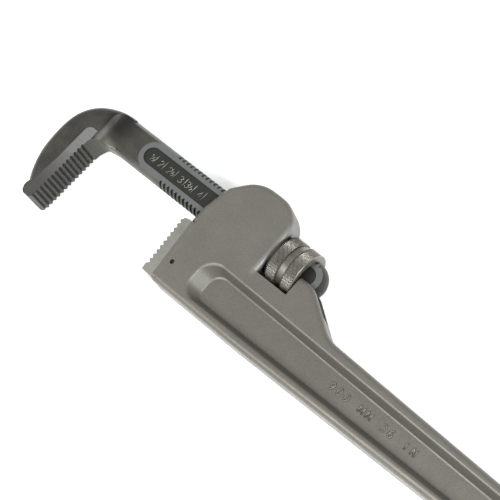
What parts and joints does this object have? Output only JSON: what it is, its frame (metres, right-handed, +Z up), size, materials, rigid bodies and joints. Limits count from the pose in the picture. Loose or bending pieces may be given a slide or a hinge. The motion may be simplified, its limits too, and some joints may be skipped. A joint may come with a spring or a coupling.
{
  "type": "pipe wrench",
  "caption": "Straight pipe wrench with a cast I-beam handle, a threaded hook jaw driven by a knurled nut, and a toothed heel jaw insert.",
  "frame": {"origin": "bottom centre of the bounding box with the wrench lying on its side, jaws open for the largest pipe", "axes": "+X along the handle from the head to the hang hole, +Y towards the back of the wrench, +Z up out of its upper side"},
  "size_m": [0.9144, 0.1536, 0.0508],
  "materials": {
    "cast_aluminium": "sand-cast, worn and greyed",
    "forged_steel": "forged, dark, with ground lands",
    "heel_steel": "machined, matt",
    "pin_steel": "plain",
    "nut_steel": "knurled, worn crests",
    "spring_steel": "blued"
  },
  "bodies": {
    "body": {"handle": "cast_aluminium", "heel_jaw": "heel_steel", "heel_jaw_pin": "pin_steel", "coil_spring": "spring_steel"},
    "rocker": {"flat_spring": "spring_steel", "spring_rivet": "pin_steel"},
    "hook": {"hook_jaw": "forged_steel"},
    "nut": {"adjusting_nut": "nut_steel"}
  },
  "joints": [
    {"name": "jaw_rock", "type": "hinge", "parent": "body", "child": "rocker", "pos_m": [-0.16589, 0.03235, 0.0254], "axis": [0, 0, 1], "range_deg": [0, 2], "stiffness_Nm_per_rad": 40, "springref_deg": -1.72, "deforming": ["coil_spring"]},
    {"name": "jaw_slide", "type": "slide", "parent": "rocker", "child": "hook", "axis": [-1, 0, 0], "range_m": [-0.133, 0.012]},
    {"name": "nut_spin", "type": "hinge", "parent": "rocker", "child": "nut", "pos_m": [-0.16589, 0.03235, 0.0254], "axis": [1, 0, 0], "range_deg": [-9045, 825]}
  ],
  "couplings": [
    {"joint": "nut_spin", "follows": "jaw_slide", "rad_per_m": 1185.5}
  ]
}
